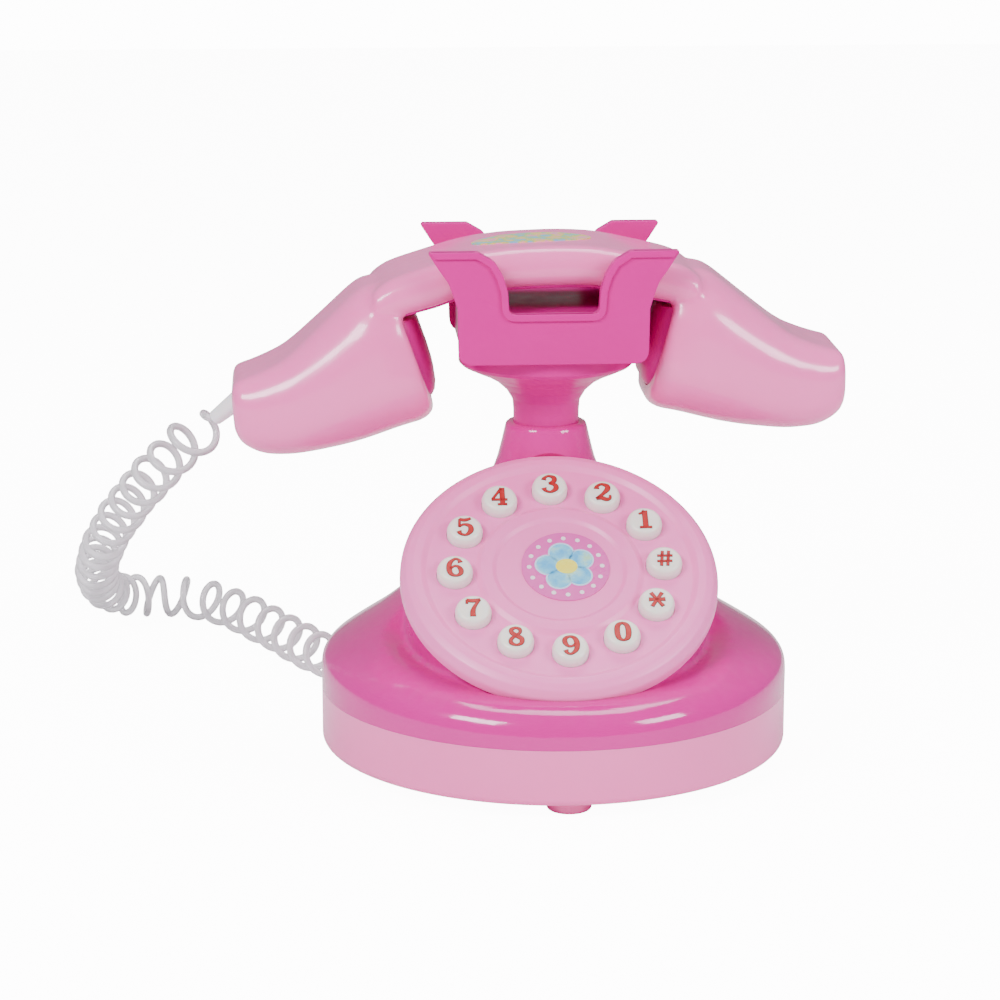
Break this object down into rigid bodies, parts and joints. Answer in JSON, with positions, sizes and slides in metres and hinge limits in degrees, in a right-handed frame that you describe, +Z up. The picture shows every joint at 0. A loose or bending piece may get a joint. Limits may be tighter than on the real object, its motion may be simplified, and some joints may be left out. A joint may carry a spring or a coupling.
{
  "type": "toy telephone",
  "caption": "Toy desk telephone: round base with a tilted push-button dial, forked cradle on a post, and a handset on a curly cord.",
  "frame": {"origin": "on the table at the centre of the round base", "axes": "+Z up, the dial faces -Y, +X to the right of someone facing the dial, along the handset"},
  "size_m": [0.1725, 0.1649, 0.1087],
  "materials": {
    "pale_pink": "glossy moulded plastic",
    "hot_pink": "satin moulded plastic",
    "cover_pink": "high gloss moulded plastic",
    "ivory": "glossy moulded plastic with a printed red digit",
    "dial_print": "printed film sticker",
    "grip_print": "printed film sticker",
    "clear_cord": "translucent soft plastic",
    "soft_white": "soft moulded plastic",
    "membrane": "silicone sheet",
    "steel": "plated steel",
    "board": "solder mask",
    "chip_black": "epoxy",
    "cell_jacket": "printed jacket",
    "magnet": "plated",
    "cone_film": "thin film"
  },
  "bodies": {
    "base": {"base_tray": "pale_pink", "battery_door": "pale_pink", "dial_plate": "pale_pink", "feet": "pale_pink", "cradle_post": "hot_pink", "cradle_yoke": "hot_pink", "base_cover": "cover_pink", "dial_sticker": "dial_print", "curly_cord": "clear_cord", "base_cord_gland": "soft_white", "keypad_membrane": "membrane", "case_screws": "steel", "battery_door_screw": "steel", "circuit_screws": "steel", "cradle_screw": "steel", "yoke_screws": "steel", "contact_plates": "steel", "contact_springs": "steel", "speaker_frame": "steel", "circuit_board": "board", "circuit_chip": "chip_black", "cell_front": "cell_jacket", "cell_rear": "cell_jacket", "speaker_magnet": "magnet", "speaker_cone": "cone_film"},
    "handset": {"handset_outer_shell": "pale_pink", "handset_inner_shell": "hot_pink", "handset_screws": "steel", "handset_sticker": "grip_print", "handset_cord_gland": "soft_white"},
    "key_0": {"button_0": "ivory"},
    "key_1": {"button_1": "ivory"},
    "key_2": {"button_2": "ivory"},
    "key_3": {"button_3": "ivory"},
    "key_4": {"button_4": "ivory"},
    "key_5": {"button_5": "ivory"},
    "key_6": {"button_6": "ivory"},
    "key_7": {"button_7": "ivory"},
    "key_8": {"button_8": "ivory"},
    "key_9": {"button_9": "ivory"},
    "key_star": {"button_star": "ivory"},
    "key_hash": {"button_hash": "ivory"}
  },
  "joints": [
    {"name": "handset_lift", "type": "slide", "parent": "base", "child": "handset", "axis": [0, 0, 1], "range_m": [0, 0.05], "deforming": ["curly_cord"]},
    {"name": "press_0", "type": "slide", "parent": "base", "child": "key_0", "axis": [0, 0.575, -0.8181], "range_m": [0, 0.0012], "stiffness_N_per_m": 400, "deforming": ["keypad_membrane"]},
    {"name": "press_1", "type": "slide", "parent": "base", "child": "key_1", "axis": [0, 0.575, -0.8181], "range_m": [0, 0.0012], "stiffness_N_per_m": 400, "deforming": ["keypad_membrane"]},
    {"name": "press_2", "type": "slide", "parent": "base", "child": "key_2", "axis": [0, 0.575, -0.8181], "range_m": [0, 0.0012], "stiffness_N_per_m": 400, "deforming": ["keypad_membrane"]},
    {"name": "press_3", "type": "slide", "parent": "base", "child": "key_3", "axis": [0, 0.575, -0.8181], "range_m": [0, 0.0012], "stiffness_N_per_m": 400, "deforming": ["keypad_membrane"]},
    {"name": "press_4", "type": "slide", "parent": "base", "child": "key_4", "axis": [0, 0.575, -0.8181], "range_m": [0, 0.0012], "stiffness_N_per_m": 400, "deforming": ["keypad_membrane"]},
    {"name": "press_5", "type": "slide", "parent": "base", "child": "key_5", "axis": [0, 0.575, -0.8181], "range_m": [0, 0.0012], "stiffness_N_per_m": 400, "deforming": ["keypad_membrane"]},
    {"name": "press_6", "type": "slide", "parent": "base", "child": "key_6", "axis": [0, 0.575, -0.8181], "range_m": [0, 0.0012], "stiffness_N_per_m": 400, "deforming": ["keypad_membrane"]},
    {"name": "press_7", "type": "slide", "parent": "base", "child": "key_7", "axis": [0, 0.575, -0.8181], "range_m": [0, 0.0012], "stiffness_N_per_m": 400, "deforming": ["keypad_membrane"]},
    {"name": "press_8", "type": "slide", "parent": "base", "child": "key_8", "axis": [0, 0.575, -0.8181], "range_m": [0, 0.0012], "stiffness_N_per_m": 400, "deforming": ["keypad_membrane"]},
    {"name": "press_9", "type": "slide", "parent": "base", "child": "key_9", "axis": [0, 0.575, -0.8181], "range_m": [0, 0.0012], "stiffness_N_per_m": 400, "deforming": ["keypad_membrane"]},
    {"name": "press_star", "type": "slide", "parent": "base", "child": "key_star", "axis": [0, 0.575, -0.8181], "range_m": [0, 0.0012], "stiffness_N_per_m": 400, "deforming": ["keypad_membrane"]},
    {"name": "press_hash", "type": "slide", "parent": "base", "child": "key_hash", "axis": [0, 0.575, -0.8181], "range_m": [0, 0.0012], "stiffness_N_per_m": 400, "deforming": ["keypad_membrane"]}
  ]
}
